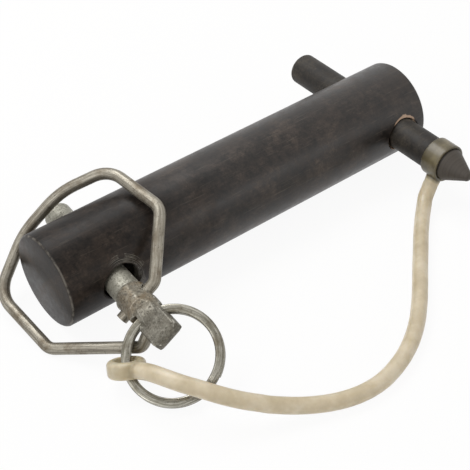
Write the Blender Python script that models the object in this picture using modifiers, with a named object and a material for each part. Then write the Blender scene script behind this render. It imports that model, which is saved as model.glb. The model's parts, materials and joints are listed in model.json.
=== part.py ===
# Top link pin with a cross bar, a wire-bail safety pin, a split ring and a moulded tether.
# The shank lies along +X. Its near end face is at the origin and its cross bar runs along Y.
from math import acos, cos, pi, radians, sin, tan

import bmesh
import bpy
from mathutils import Euler, Matrix, Vector

MM = 0.001
GAP = 0.3 * MM

# Shank: a category 2 link pin turned from bar
SHANK_R = 12.7 * MM
SHANK_LENGTH = 118.6 * MM
SHANK_CHAMFER = 0.7 * MM

# Hole for the safety pin, near the shank's near end
PIN_HOLE_X = 15.0 * MM
PIN_HOLE_R = 5.1 * MM
HOLE_CHAMFER = 0.8 * MM

# Cross bar pressed through the shank's far end
BAR_FROM_END = 8.3 * MM
BAR_R = 4.6 * MM
BAR_BACK = 18.8 * MM
BAR_FRONT = 18.3 * MM
BAR_CONE = 7.6 * MM
BAR_EDGE = 1.0 * MM
BAR_TIP_R = 1.3 * MM
BAR_TIP_FLAT = 0.6
BAR_TIP_DROP = 0.15
BAR_EDGE_ROUND = 0.3

# Safety pin: stations along its own axis are measured from the shank's surface
PIN_ROLL = radians(35.0)
PIN_HEADING = radians(-94.1)
STEM_R = 3.75 * MM
STEM_CHAMFER = 0.7 * MM
TIP_STANDOUT = 8.0 * MM
HUB_R = 4.35 * MM
HUB_STANDOFF = 4.7 * MM
HUB_LENGTH = 8.4 * MM
HUB_SHOULDER = 0.7 * MM
TAPER_LENGTH = 3.7 * MM
TONGUE_LENGTH = 7.1 * MM
TONGUE_THICKNESS = 4.4 * MM
TONGUE_HALF_WIDTH = 3.85 * MM
TONGUE_CORNER = 0.6 * MM
TONGUE_ROUND = 1.4 * MM

# Wire bail that snaps over the shank
WIRE_R = 1.55 * MM
WIRE_CLEARANCE = 0.3 * MM
BAIL_EYE_FROM_SHOULDER = 3.4 * MM
BAIL_SPAN = 8.9 * MM
BAIL_STUB = 1.25 * MM
BAIL_EYE_LEG = 2.25 * MM
BAIL_EYE_BEND = 3.0 * MM
LOOP_SWING = radians(10.4)
LOOP_LIFT = 0.92 * MM
END_LEG = 2.65 * MM
END_DROP = 0.71 * MM
END_SAG = 2.15 * MM
END_BEND = 2.2 * MM

# Corners of the bail's loop round the shank, in millimetres. Each has the side of the shank
# (1 is the far one) and the distance past it, then the side of the pin and how far out from
# the shank's radius on it, then the radius of the bend
LOOP_CORNERS = [
    (-1, 3.8, 1, 8.1, 4.5),
    (1, -2.3, 1, 6.1, 9.0),
    (1, 4.6, 1, -7.1, 20.0),
    (1, 4.5, -1, -4.1, 20.0),
    (1, -2.3, -1, 11.1, 8.0),
    (-1, 0.8, -1, 10.9, 4.5),
]

# Split ring through the safety pin's waist
RING_R = 11.37 * MM
RING_STOCK = 1.15 * MM
RING_EDGE = 0.3 * MM
RING_GROOVE = 0.25 * MM
RING_HOLE_R = 2.3 * MM
RING_HOLE_SHIFT = 0.4 * MM
RING_HOLE_FROM_HUB = 1.35 * MM
RING_HOLE_OFFSET = (0.17 * MM, 0.44 * MM)
RING_TURN = Euler((radians(16.0), radians(-21.8), radians(163.4)))
RING_SLIT = 0.45 * MM
RING_LAP = radians(34.0)

# Eyelet of the tether, threaded on the split ring
EYELET_R = 4.8 * MM
EYELET_HEIGHT = 4.3 * MM
EYELET_EDGE = 1.2 * MM
EYELET_BORE_R = 2.2 * MM
EYELET_MOUTH_R = 3.1 * MM
EYELET_WAIST = 0.55
EYELET_PHASE = radians(73.0)
EYELET_TURN = Euler((radians(-58.7), radians(-41.2), radians(148.2)))
EYELET_SHIFT = (0.12 * MM, 0.14 * MM, 0.12 * MM)
EYELET_ROOT = 5.6 * MM

# Loop of the tether, stretched over the cross bar
LOOP_WALL = 0.65 * MM
LOOP_WIDTH = 5.5 * MM
LOOP_EDGE = 0.25 * MM
LOOP_FROM_SHANK = 12.3 * MM
LOOP_ROOT_LENGTH = 3.4 * MM
LOOP_ROOT_ANGLE = radians(-118.0)
LOOP_ROOT_TURN = (radians(14.0), radians(-10.0))

# Strap of the tether, from the loop on the bar to the eyelet on the ring, in millimetres.
# It is drawn for a bar at STRAP_BAR_X and its X stretches with the bar's own station
STRAP_R = 2.1 * MM
STRAP_BAR_X = 110.3 * MM
STRAP_ROUTE = [
    (105.5, -28.4, -7.1),
    (103.8, -29.0, -8.9),
    (102.7, -29.8, -9.6),
    (101.4, -30.9, -10.1),
    (97.8, -34.0, -10.55),
    (93.0, -38.5, -10.55),
    (88.2, -43.3, -10.55),
    (83.6, -47.9, -10.55),
    (78.9, -52.7, -10.55),
    (73.9, -57.6, -10.55),
    (68.3, -62.4, -10.55),
    (62.2, -66.4, -10.55),
    (55.7, -69.3, -10.55),
    (48.8, -71.0, -10.55),
    (41.9, -70.8, -10.5),
    (35.2, -68.9, -10.2),
    (28.3, -65.8, -9.2),
    (22.1, -62.6, -7.3),
    (19.3, -60.8, -6.2),
    (16.7, -59.0, -5.2),
    (14.4, -57.2, -4.2),
    (12.4, -55.4, -3.3),
    (10.6, -53.5, -2.5),
    (8.9, -51.4, -1.9),
    (7.3, -49.1, -1.6),
    (5.9, -46.5, -1.5),
    (4.7, -43.6, -1.7),
    (3.8, -40.8, -2.2),
    (3.4, -38.7, -3.1),
    (3.2, -36.9, -4.2),
]

WIRE_RESOLUTION = 2
BEND_STEPS = 6


def clear_scene():
    for old in list(bpy.data.objects):
        bpy.data.objects.remove(old, do_unlink=True)


def new_collection(name):
    group = bpy.data.collections.new(name)
    bpy.context.scene.collection.children.link(group)
    return group


def finish(name, colour, roughness, metallic):
    material = bpy.data.materials.new(name)
    material.use_nodes = True
    shader = material.node_tree.nodes["Principled BSDF"]
    shader.inputs["Base Color"].default_value = (*colour, 1.0)
    shader.inputs["Roughness"].default_value = roughness
    shader.inputs["Metallic"].default_value = metallic
    return material


def object_from(mesh, name, material=None, group=None):
    """A new object. With no material it is a cutter, drawn as wires and never rendered."""
    piece = bpy.data.objects.new(name, mesh)
    if material:
        mesh.materials.append(material)
        group.objects.link(piece)
    else:
        cutters.objects.link(piece)
        piece.hide_render = True
        piece.display_type = "WIRE"
    return piece


def smooth(mesh, angle=40.0):
    mesh.shade_smooth()
    mesh.set_sharp_from_angle(angle=radians(angle))


def evaluated_mesh(piece):
    """The piece's mesh with its modifiers applied and loose caps welded."""
    bpy.context.view_layer.update()
    graph = bpy.context.evaluated_depsgraph_get()
    mesh = bpy.data.meshes.new_from_object(piece.evaluated_get(graph))
    bm = bmesh.new()
    bm.from_mesh(mesh)
    bmesh.ops.remove_doubles(bm, verts=bm.verts, dist=0.001 * MM)
    bm.to_mesh(mesh)
    bm.free()
    return mesh


def turned(name, profile, steps, closed=False):
    """A mesh turned about Z from a profile of (radius, height) that runs down its outer side."""
    mesh = bpy.data.meshes.new(name)
    count = len(profile)
    edges = [(i, i + 1) for i in range(count - 1)]
    if closed:
        edges.append((count - 1, 0))
    mesh.from_pydata([(r, 0.0, z) for r, z in profile], edges, [])
    blank = object_from(mesh, name + "_profile")
    screw = blank.modifiers.new("turn", "SCREW")
    screw.steps = steps
    screw.render_steps = steps
    screw.use_merge_vertices = True
    screw.merge_threshold = 0.00001
    solid = evaluated_mesh(blank)
    bpy.data.objects.remove(blank, do_unlink=True)
    return solid


def extruded(name, outline, thickness, upright=False):
    """A flat outline in XY, extruded to the thickness about its own plane, or about XZ if upright."""
    curve = bpy.data.curves.new(name, "CURVE")
    curve.dimensions = "2D"
    curve.fill_mode = "BOTH"
    curve.extrude = thickness / 2
    spline = curve.splines.new("POLY")
    spline.points.add(len(outline) - 1)
    for point, (x, y) in zip(spline.points, outline):
        point.co = (x, y, 0.0, 1.0)
    spline.use_cyclic_u = True
    sheet = bpy.data.objects.new(name + "_outline", curve)
    cutters.objects.link(sheet)
    solid = evaluated_mesh(sheet)
    bpy.data.objects.remove(sheet, do_unlink=True)
    if upright:
        solid.transform(Matrix.Rotation(pi / 2, 4, "X"))
    return object_from(solid, name)


def rod(name, radius, length, steps=32):
    """A plain round cutter along Z, centred on its own origin."""
    mesh = bpy.data.meshes.new(name)
    bm = bmesh.new()
    bmesh.ops.create_cone(
        bm, cap_ends=True, segments=steps, radius1=radius, radius2=radius, depth=length
    )
    bm.to_mesh(mesh)
    bm.free()
    return object_from(mesh, name)


def combine(piece, tool, operation):
    step = piece.modifiers.new(tool.name, "BOOLEAN")
    step.solver = "EXACT"
    step.operation = operation
    step.object = tool


def along(direction):
    """Turns Z to a direction."""
    return Vector(direction).to_track_quat("Z", "Y").to_matrix().to_4x4()


def bent_route(corners):
    """Points of a wire through (corner, bend radius), with each bend as an arc."""
    route = [Vector(corners[0][0])]
    for before, here, after in zip(corners, corners[1:], corners[2:]):
        corner = Vector(here[0])
        back = (Vector(before[0]) - corner).normalized()
        ahead = (Vector(after[0]) - corner).normalized()
        half = acos(max(-1.0, min(1.0, back.dot(ahead)))) / 2
        radius = here[1]
        centre = corner + (back + ahead).normalized() * radius / sin(half)
        start = corner + back * radius / tan(half) - centre
        end = corner + ahead * radius / tan(half) - centre
        sweep = pi - 2 * half
        for step in range(BEND_STEPS + 1):
            share = step / BEND_STEPS
            arm = (sin((1 - share) * sweep) * start + sin(share * sweep) * end) / sin(sweep)
            route.append(centre + arm)
    route.append(Vector(corners[-1][0]))
    return route


def wire(name, route, radius):
    """A round wire as a closed mesh along a route."""
    curve = bpy.data.curves.new(name, "CURVE")
    curve.dimensions = "3D"
    curve.bevel_depth = radius
    curve.bevel_resolution = WIRE_RESOLUTION
    curve.use_fill_caps = True
    spline = curve.splines.new("POLY")
    spline.points.add(len(route) - 1)
    for point, place in zip(spline.points, route):
        point.co = (*place, 1.0)
    path = bpy.data.objects.new(name + "_path", curve)
    cutters.objects.link(path)
    solid = evaluated_mesh(path)
    bpy.data.objects.remove(path, do_unlink=True)
    return solid


def empty(name, parent=None):
    frame = bpy.data.objects.new(name, None)
    frame.empty_display_size = 5 * MM
    frame.parent = parent
    pin_group.objects.link(frame)
    return frame


def build_shank():
    edge = SHANK_CHAMFER
    profile = [
        (0.0, SHANK_LENGTH),
        (SHANK_R - edge, SHANK_LENGTH),
        (SHANK_R, SHANK_LENGTH - edge),
        (SHANK_R, edge),
        (SHANK_R - edge, 0.0),
        (0.0, 0.0),
    ]
    mesh = turned("shank", profile, 96)
    mesh.transform(Matrix.Rotation(pi / 2, 4, "Y"))
    smooth(mesh)
    shank = object_from(mesh, "shank", black_oxide, pin_group)
    for name, x, radius in (
        ("pin_hole", PIN_HOLE_X, PIN_HOLE_R),
        ("bar_hole", bar_x, BAR_R + GAP),
    ):
        mouth = SHANK_R + HOLE_CHAMFER
        wide = radius + 2 * HOLE_CHAMFER
        narrow = SHANK_R - HOLE_CHAMFER
        hole = [(0.0, mouth), (wide, mouth), (radius, narrow)]
        hole += [(radius, -narrow), (wide, -mouth), (0.0, -mouth)]
        drill_mesh = turned(name, hole, 48)
        drill_mesh.transform(Matrix.Rotation(pi / 2, 4, "X"))
        drill = object_from(drill_mesh, name)
        drill.location.x = x
        combine(shank, drill, "DIFFERENCE")


def build_cross_bar():
    back = SHANK_R + BAR_BACK
    shoulder = SHANK_R + BAR_FRONT
    tip = shoulder + BAR_CONE
    profile = [
        (0.0, tip),
        (BAR_TIP_R * BAR_TIP_FLAT, tip - BAR_TIP_R * BAR_TIP_DROP),
        (BAR_TIP_R, tip - BAR_TIP_R * BAR_TIP_FLAT),
        (BAR_R, shoulder),
        (BAR_R, BAR_EDGE - back),
        (BAR_R - BAR_EDGE * BAR_EDGE_ROUND, BAR_EDGE * BAR_EDGE_ROUND - back),
        (BAR_R - BAR_EDGE, -back),
        (0.0, -back),
    ]
    mesh = turned("cross_bar", profile, 48)
    mesh.transform(Matrix.Rotation(pi / 2, 4, "X"))
    smooth(mesh, 30.0)
    bar = object_from(mesh, "cross_bar", black_steel, pin_group)
    bar.location.x = bar_x


def build_linchpin():
    """Turned stem and hub, flattened to a tongue, with a waist hole for the ring."""
    tip = -(SHANK_R + TIP_STANDOUT)
    profile = [
        (0.0, tongue_end),
        (HUB_R, tongue_end),
        (HUB_R, hub_start + HUB_SHOULDER),
        (HUB_R - HUB_SHOULDER / 2, hub_start),
        (STEM_R, hub_start),
        (STEM_R, tip + STEM_CHAMFER),
        (STEM_R - STEM_CHAMFER, tip),
        (0.0, tip),
    ]
    mesh = turned("linchpin", profile, 48)
    mesh.transform(Matrix.Rotation(pi / 2, 4, "Y"))
    smooth(mesh, 35.0)
    pin = object_from(mesh, "linchpin", cast_steel, pin_group)
    pin.parent = pin_frame
    past = 2 * HUB_R
    half = TONGUE_THICKNESS / 2
    nose = TONGUE_ROUND
    side = [
        (tip - past, -past),
        (hub_end, -past),
        (hub_end, -HUB_R),
        (tongue_start, -half),
        (tongue_end - nose, -half),
        (tongue_end, nose - half),
        (tongue_end, half - nose),
        (tongue_end - nose, half),
        (tongue_start, half),
        (hub_end, HUB_R),
        (hub_end, past),
        (tip - past, past),
    ]
    flats = extruded("tongue_flats", side, 3 * past, upright=True)
    edge = TONGUE_CORNER
    width = TONGUE_HALF_WIDTH
    plan = [
        (tip - past, -past),
        (hub_end, -past),
        (hub_end, -HUB_R),
        (tongue_start, -width),
        (tongue_end - 2 * edge, -width),
        (tongue_end - edge, edge - width),
        (tongue_end - edge / 3, edge - width / 2),
        (tongue_end - edge / 3, width / 2 - edge),
        (tongue_end - edge, width - edge),
        (tongue_end - 2 * edge, width),
        (tongue_start, width),
        (hub_end, HUB_R),
        (hub_end, past),
        (tip - past, past),
    ]
    plate = extruded("tongue_plan", plan, 3 * past)
    for tool in (flats, plate):
        tool.parent = pin_frame
        combine(pin, tool, "INTERSECT")
    eye = rod("bail_eye", WIRE_R + WIRE_CLEARANCE, 4 * HUB_R)
    eye.parent = pin_frame
    eye.location.x = bail_eye_x
    eye.rotation_euler.x = pi / 2
    combine(pin, eye, "DIFFERENCE")
    waist = rod("ring_hole", RING_HOLE_R, 4 * HUB_R)
    waist.parent = ring_frame
    waist.location.x = -RING_HOLE_SHIFT
    waist.rotation_euler.x = pi / 2
    combine(pin, waist, "DIFFERENCE")


def build_bail():
    """Bent wire. Its first end turns in the hub's eye and its last end springs on the tongue."""
    shank_reach = bail_eye_x / cos(LOOP_SWING)
    route = [((0.0, -(HUB_R + BAIL_STUB), 0.0), 0.0)]
    route.append(((0.0, HUB_R + BAIL_EYE_LEG, 0.0), BAIL_EYE_BEND))
    for far_side, past, pin_side, out, bend in LOOP_CORNERS:
        reach = shank_reach + far_side * SHANK_R + past * MM
        beside = pin_side * (SHANK_R + out * MM)
        place = (-reach * cos(LOOP_SWING), beside, LOOP_LIFT + reach * sin(LOOP_SWING))
        route.append((place, bend * MM))
    tongue_side = TONGUE_HALF_WIDTH + GAP
    lean = (END_SAG - END_DROP) / END_LEG
    route.append(((BAIL_SPAN, -(tongue_side + END_LEG), -END_SAG), END_BEND))
    cut_back = WIRE_R * lean
    route.append(((BAIL_SPAN, -(tongue_side + cut_back), -END_DROP - cut_back * lean), 0.0))
    mesh = wire("snap_bail", bent_route(route), WIRE_R)
    smooth(mesh)
    bail = object_from(mesh, "snap_bail", zinc_wire, pin_group)
    bail.parent = bail_frame


def build_split_ring():
    """Two laid turns of flat stock, with a slit at each end of the wire."""
    half = RING_STOCK
    edge = RING_EDGE
    groove = RING_GROOVE
    outer = RING_R + half
    inner = RING_R - half
    profile = [
        (inner + edge, half),
        (outer - edge, half),
        (outer, half - edge),
        (outer, groove),
        (outer - groove, 0.0),
        (outer, -groove),
        (outer, edge - half),
        (outer - edge, -half),
        (inner + edge, -half),
        (inner, edge - half),
        (inner, -groove),
        (inner + groove, 0.0),
        (inner, groove),
        (inner, half - edge),
    ]
    mesh = turned("split_ring", profile, 72, closed=True)
    smooth(mesh, 50.0)
    ring = object_from(mesh, "split_ring", spring_steel, pin_group)
    ring.parent = ring_frame
    ring.location.x = -RING_R
    for name, lap, side in (("upper_slit", RING_LAP, 1.0), ("lower_slit", 0.0, -1.0)):
        bm = bmesh.new()
        bmesh.ops.create_cube(bm, size=1.0)
        slit_mesh = bpy.data.meshes.new(name)
        bm.to_mesh(slit_mesh)
        bm.free()
        slit_mesh.transform(Matrix.Diagonal((4 * half, RING_SLIT, 2 * half, 1.0)))
        slit_mesh.transform(Matrix.Translation((RING_R, 0.0, side * (half + groove / 2))))
        slit = object_from(slit_mesh, name)
        slit.parent = ring
        slit.rotation_euler.z = pi + lap
        combine(ring, slit, "DIFFERENCE")


def build_eyelet():
    """Round eye with a waisted bore, so that it tips on the ring, and the root of the strap."""
    half = EYELET_HEIGHT / 2
    edge = EYELET_EDGE
    soft = edge * (1 - cos(pi / 4))
    profile = [
        (EYELET_MOUTH_R, half),
        (EYELET_R - edge, half),
        (EYELET_R - soft, half - soft),
        (EYELET_R, half - edge),
        (EYELET_R, edge - half),
        (EYELET_R - soft, soft - half),
        (EYELET_R - edge, -half),
        (EYELET_MOUTH_R, -half),
    ]
    waist = (EYELET_MOUTH_R - EYELET_BORE_R) * EYELET_WAIST
    bore = [(EYELET_MOUTH_R - waist, -half / 2), (EYELET_BORE_R, 0.0), (EYELET_MOUTH_R - waist, half / 2)]
    mesh = turned("tether_eyelet", profile + bore, 48, closed=True)
    smooth(mesh, 50.0)
    eyelet = object_from(mesh, "tether_eyelet", ivory_plastic, pin_group)
    eyelet.parent = eyelet_frame
    start = EYELET_R - edge
    root = rod("eyelet_root", STRAP_R, EYELET_ROOT - start, 24)
    root.parent = eyelet_frame
    root.location.x = (EYELET_ROOT + start) / 2
    root.rotation_euler.y = pi / 2
    combine(eyelet, root, "UNION")


def build_tether_loop():
    """Band on the cross bar, with the root of the strap on its lower side."""
    bore = BAR_R + GAP
    outer = bore + LOOP_WALL
    half = LOOP_WIDTH / 2
    edge = LOOP_EDGE
    profile = [
        (bore, half),
        (outer - edge, half),
        (outer, half - edge),
        (outer, edge - half),
        (outer - edge, -half),
        (bore, -half),
    ]
    mesh = turned("tether_loop", profile, 48, closed=True)
    mesh.transform(Matrix.Rotation(pi / 2, 4, "X"))
    smooth(mesh, 50.0)
    loop = object_from(mesh, "tether_loop", ivory_plastic, pin_group)
    loop.location = (bar_x, -(SHANK_R + LOOP_FROM_SHANK + half), 0.0)
    root = rod("loop_root", STRAP_R, LOOP_ROOT_LENGTH, 24)
    root.parent = loop
    root.matrix_local = loop_root_frame(bore, LOOP_ROOT_LENGTH / 2)
    combine(loop, root, "UNION")
    clear = rod("loop_bore", bore, 2 * LOOP_WIDTH, 48)
    clear.parent = loop
    clear.rotation_euler.x = pi / 2
    combine(loop, clear, "DIFFERENCE")


def loop_root_frame(radius, distance):
    """Place and direction of the strap's root, a distance out from the band's bore."""
    foot = Vector((radius * cos(LOOP_ROOT_ANGLE), 0.0, radius * sin(LOOP_ROOT_ANGLE)))
    lean, drift = LOOP_ROOT_TURN
    heading = LOOP_ROOT_ANGLE - lean
    way = Vector((cos(heading) * cos(drift), sin(drift), sin(heading) * cos(drift)))
    return Matrix.Translation(foot + way * distance) @ along(way)


def build_strap():
    stretch = bar_x / STRAP_BAR_X
    route = [Vector((x * stretch, y, z)) * MM for x, y, z in STRAP_ROUTE]
    mesh = wire("tether_strap", route, STRAP_R)
    smooth(mesh)
    object_from(mesh, "tether_strap", ivory_plastic, pin_group)


clear_scene()
pin_group = new_collection("top_link_pin")
cutters = new_collection("cutters")

black_oxide = finish("black_oxide_steel", (0.052, 0.047, 0.045), 0.42, 0.6)
black_steel = finish("dark_bar_steel", (0.050, 0.049, 0.050), 0.40, 0.6)
cast_steel = finish("galvanised_casting", (0.30, 0.285, 0.262), 0.55, 0.7)
zinc_wire = finish("zinc_plated_wire", (0.34, 0.32, 0.28), 0.35, 0.85)
spring_steel = finish("nickel_spring_steel", (0.24, 0.23, 0.21), 0.32, 0.9)
ivory_plastic = finish("ivory_plastic", (0.66, 0.58, 0.43), 0.38, 0.0)

# Station of the cross bar along the shank
bar_x = SHANK_LENGTH - BAR_FROM_END

# Stations along the safety pin, from the shank's axis
hub_start = SHANK_R + HUB_STANDOFF
hub_end = hub_start + HUB_LENGTH
tongue_start = hub_end + TAPER_LENGTH
tongue_end = tongue_start + TONGUE_LENGTH
bail_eye_x = hub_start + BAIL_EYE_FROM_SHOULDER

pin_frame = empty("linchpin_slide")
pin_frame.location.x = PIN_HOLE_X
pin_frame.rotation_euler = (PIN_ROLL, 0.0, PIN_HEADING)

bail_frame = empty("bail_pivot", pin_frame)
bail_frame.location.x = bail_eye_x

ring_frame = empty("ring_hole_frame", pin_frame)
ring_frame.location = (hub_end + RING_HOLE_FROM_HUB, *RING_HOLE_OFFSET)
ring_frame.rotation_euler = RING_TURN

eyelet_arm = empty("eyelet_arm", ring_frame)
eyelet_arm.location.x = -RING_R
eyelet_arm.rotation_euler.z = EYELET_PHASE

eyelet_frame = empty("eyelet_frame", eyelet_arm)
eyelet_frame.location = Vector((RING_R, 0.0, 0.0)) + Vector(EYELET_SHIFT)
eyelet_frame.rotation_euler = EYELET_TURN

build_shank()
build_cross_bar()
build_linchpin()
build_bail()
build_split_ring()
build_eyelet()
build_tether_loop()
build_strap()
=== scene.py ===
# %% [markdown]
# A link pin for a tractor's linkage: a blackened steel shank with a cross bar through one end
# and a cast safety pin through the other. The safety pin has a wire bail and a split ring,
# and a moulded plastic tether keeps it with the bar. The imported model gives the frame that
# everything else is fitted to, so it is loaded first.

# %% Load the frame
import json
from math import atan2, cos, pi, radians, sin, tan

import bmesh
import bpy
from mathutils import Euler, Matrix, Vector
from mathutils.kdtree import KDTree


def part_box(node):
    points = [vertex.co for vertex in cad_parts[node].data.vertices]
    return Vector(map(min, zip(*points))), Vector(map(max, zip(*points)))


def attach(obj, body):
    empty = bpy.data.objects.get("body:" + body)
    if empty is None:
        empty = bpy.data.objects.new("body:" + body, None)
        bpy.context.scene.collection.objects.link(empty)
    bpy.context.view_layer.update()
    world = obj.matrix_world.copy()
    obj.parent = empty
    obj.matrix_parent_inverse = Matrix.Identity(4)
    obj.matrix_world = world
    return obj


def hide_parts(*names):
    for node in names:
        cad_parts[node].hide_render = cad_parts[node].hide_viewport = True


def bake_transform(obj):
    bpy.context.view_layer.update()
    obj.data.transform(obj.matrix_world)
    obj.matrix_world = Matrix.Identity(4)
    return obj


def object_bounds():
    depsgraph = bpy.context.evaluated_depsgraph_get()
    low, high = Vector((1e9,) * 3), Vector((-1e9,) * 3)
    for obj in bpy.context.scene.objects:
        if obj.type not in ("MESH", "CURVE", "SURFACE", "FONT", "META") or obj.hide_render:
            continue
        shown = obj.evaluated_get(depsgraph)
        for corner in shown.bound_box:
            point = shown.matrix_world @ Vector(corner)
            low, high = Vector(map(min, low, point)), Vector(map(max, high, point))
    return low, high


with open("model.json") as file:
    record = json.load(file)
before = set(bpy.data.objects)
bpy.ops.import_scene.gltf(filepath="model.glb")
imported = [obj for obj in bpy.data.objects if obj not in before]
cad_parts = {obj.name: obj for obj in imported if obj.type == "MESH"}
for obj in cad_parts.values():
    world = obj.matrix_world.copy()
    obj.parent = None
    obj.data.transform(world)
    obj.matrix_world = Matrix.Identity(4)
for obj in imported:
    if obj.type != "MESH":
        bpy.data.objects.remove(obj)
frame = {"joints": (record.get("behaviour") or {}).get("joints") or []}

MM = 0.001
solid_box = [list(corner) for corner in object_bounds()]
print("solid box in mm", [[round(x / MM, 1) for x in corner] for corner in solid_box])

# %% [markdown]
# The photograph looks down on the pin from its near end. The camera's place was found from
# the two rims of the shank and the bar's edges, so it is set as a place, two angles, a small
# roll and a long lens. A long lens keeps the far end nearly as large as the near one.

# %% Camera
CAMERA_PLACE = Vector((-106.8, -223.7, 222.4)) * MM
AZIMUTH = radians(-36.63)
ELEVATION = radians(40.72)
ROLL = radians(-2.16)
LENS = 101.4

camera = bpy.data.objects.new("camera", bpy.data.cameras.new("camera"))
bpy.context.scene.collection.objects.link(camera)
camera.data.lens = LENS
camera.data.sensor_width = 36.0
camera.data.sensor_fit = "HORIZONTAL"
camera.data.clip_start = 0.01
backwards = Vector((
    sin(AZIMUTH) * cos(ELEVATION),
    -cos(AZIMUTH) * cos(ELEVATION),
    sin(ELEVATION),
))
level = backwards.to_track_quat("Z", "Y").to_matrix().to_4x4()
camera.matrix_world = Matrix.Translation(CAMERA_PLACE) @ level @ Matrix.Rotation(ROLL, 4, "Z")
bpy.context.scene.camera = camera
print("camera", round(CAMERA_PLACE.length / MM), "mm from the near end of the shank")

# %% [markdown]
# An eye picks a colour as a hex code, and a shader wants linear numbers. One helper turns the
# first into the second, so that every colour here can be looked up on a screen.

# %% Colour helper
def colour(code):
    """An sRGB hex colour as linear red, green, blue and alpha."""
    channels = [int(code[i:i + 2], 16) / 255 for i in (1, 3, 5)]
    return [c / 12.92 if c <= 0.04045 else ((c + 0.055) / 1.055) ** 2.4 for c in channels] + [1.0]


print("a mid grey is", [round(c, 3) for c in colour("#808080")[:3]])

# %% [markdown]
# A few small helpers carry the materials. The main one adds a node, sets it up and feeds it,
# so that a material reads as a list of what is laid over what.

# %% Node helpers
def result(node):
    """The first output that a node has in its present setting."""
    return next(output for output in node.outputs if output.enabled)


def add(tree, kind, feeds=None, stops=None, **settings):
    """Adds a shader node, sets it up and feeds its inputs values, sockets or nodes."""
    node = tree.nodes.new("ShaderNode" + kind)
    for name, value in settings.items():
        setattr(node, name, value)
    if stops:
        ramp = node.color_ramp
        while len(ramp.elements) < len(stops):
            ramp.elements.new(0.5)
        for element, (place, code) in zip(ramp.elements, stops):
            element.position = place
            element.color = colour(code)
    for socket, value in (feeds or {}).items():
        if isinstance(value, bpy.types.Node):
            value = result(value)
        if isinstance(value, bpy.types.NodeSocket):
            tree.links.new(value, node.inputs[socket])
        else:
            node.inputs[socket].default_value = value
    return node


def new_material(name, **surface):
    """A material with an empty Principled shader, its tree, and constants on its sockets."""
    material = bpy.data.materials.new(name)
    material.use_nodes = True
    tree = material.node_tree
    shader = tree.nodes["Principled BSDF"]
    for socket, value in surface.items():
        shader.inputs[socket.replace("_", " ")].default_value = value
    return material, tree, shader


def lead(tree, shader, **nodes):
    """Leads what nodes give to the shader's sockets of the same names."""
    for socket, node in nodes.items():
        tree.links.new(result(node), shader.inputs[socket.replace("_", " ")])


def lay_over(tree, under, code, pattern, low, high, most):
    """A colour laid over another where a pattern goes from low to high, up to a share."""
    share = add(tree, "MapRange", {
        "Value": pattern, "From Min": low, "From Max": high, "To Max": most,
    })
    return add(tree, "Mix", data_type="RGBA", feeds={0: share, 6: under, 7: colour(code)})


def per(size):
    """A texture's scale for features of a size in millimetres, on coordinates in metres."""
    return 1000.0 / size


print("a feature of 2 mm has the scale", per(2.0))

# %% [markdown]
# The picture was taken on white paper. By Light Path, the camera sees a white floor and world,
# directly, mirrored or through clear plastic, while the light that they give stays dim. The
# paper keeps a part of its own shading, so the shadow still shows.

# %% Floor and world
FLOOR = solid_box[0][2]
PAPER_GLOW = 0.93
WORLD_LIGHT = 0.42

bpy.context.scene.view_settings.view_transform = "Standard"


def deselect():
    """Object mode with nothing selected."""
    active = bpy.context.view_layer.objects.active
    if active and active.mode != "OBJECT":
        bpy.ops.object.mode_set(mode="OBJECT")
    bpy.ops.object.select_all(action="DESELECT")


def is_seen(tree):
    """1 for rays that show a surface to the camera, directly, mirrored or through plastic."""
    rays = add(tree, "LightPath").outputs
    seen = rays["Is Camera Ray"]
    for kind in ("Is Transmission Ray", "Is Glossy Ray"):
        seen = add(tree, "Math", operation="MAXIMUM", feeds={0: seen, 1: rays[kind]})
    return seen


deselect()
bpy.ops.mesh.primitive_plane_add(size=6.0, location=(0.05, 0.0, FLOOR))
floor = bpy.context.object
floor.name = "floor"

paper, paper_tree, paper_shader = new_material("white_paper", Roughness=0.9)
paper_shader.inputs["Base Color"].default_value = colour("#f4f4f4")
paper_share = add(paper_tree, "Math", operation="MULTIPLY", feeds={
    0: is_seen(paper_tree), 1: PAPER_GLOW,
})
paper_glow = add(paper_tree, "Emission", {"Color": colour("#ffffff")})
paper_mix = add(paper_tree, "MixShader", {0: paper_share, 1: paper_shader, 2: paper_glow})
lead(paper_tree, paper_tree.nodes["Material Output"], Surface=paper_mix)
floor.data.materials.append(paper)

world = bpy.data.worlds.new("studio")
world.use_nodes = True
bpy.context.scene.world = world
sky = world.node_tree
sky.nodes.clear()
sky_light = add(sky, "Background", {"Color": colour("#fff8ef"), "Strength": WORLD_LIGHT})
sky_white = add(sky, "Background", {"Color": colour("#ffffff")})
sky_mix = add(sky, "MixShader", {0: is_seen(sky), 1: sky_light, 2: sky_white})
add(sky, "OutputWorld", {"Surface": sky_mix})
print("floor at", round(FLOOR / MM, 2), "mm")

# %% [markdown]
# Large soft lamps light the pin: one above and behind it, which draws the long highlight on
# the shank, a low one in front on the right, and one on the left.

# %% Lamps
def lamp(name, place, aim, size, power):
    """A soft box that faces a point."""
    light = bpy.data.lights.new(name, "AREA")
    light.shape = "RECTANGLE"
    light.size, light.size_y = size
    light.energy = power
    box = bpy.data.objects.new(name, light)
    bpy.context.scene.collection.objects.link(box)
    box.location = place
    box.rotation_euler = (Vector(place) - Vector(aim)).to_track_quat("Z", "Y").to_euler()


MIDDLE = (0.055, -0.02, 0.0)
lamp("overhead_box", (-0.02, 0.26, 0.52), MIDDLE, (0.50, 0.30), 2.2)
lamp("front_box", (0.30, -0.55, 0.22), MIDDLE, (0.60, 0.10), 0.48)
lamp("left_box", (-0.50, -0.10, 0.35), MIDDLE, (0.30, 0.40), 0.80)
print("lamps aim at", [round(c / MM) for c in MIDDLE], "mm")

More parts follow.
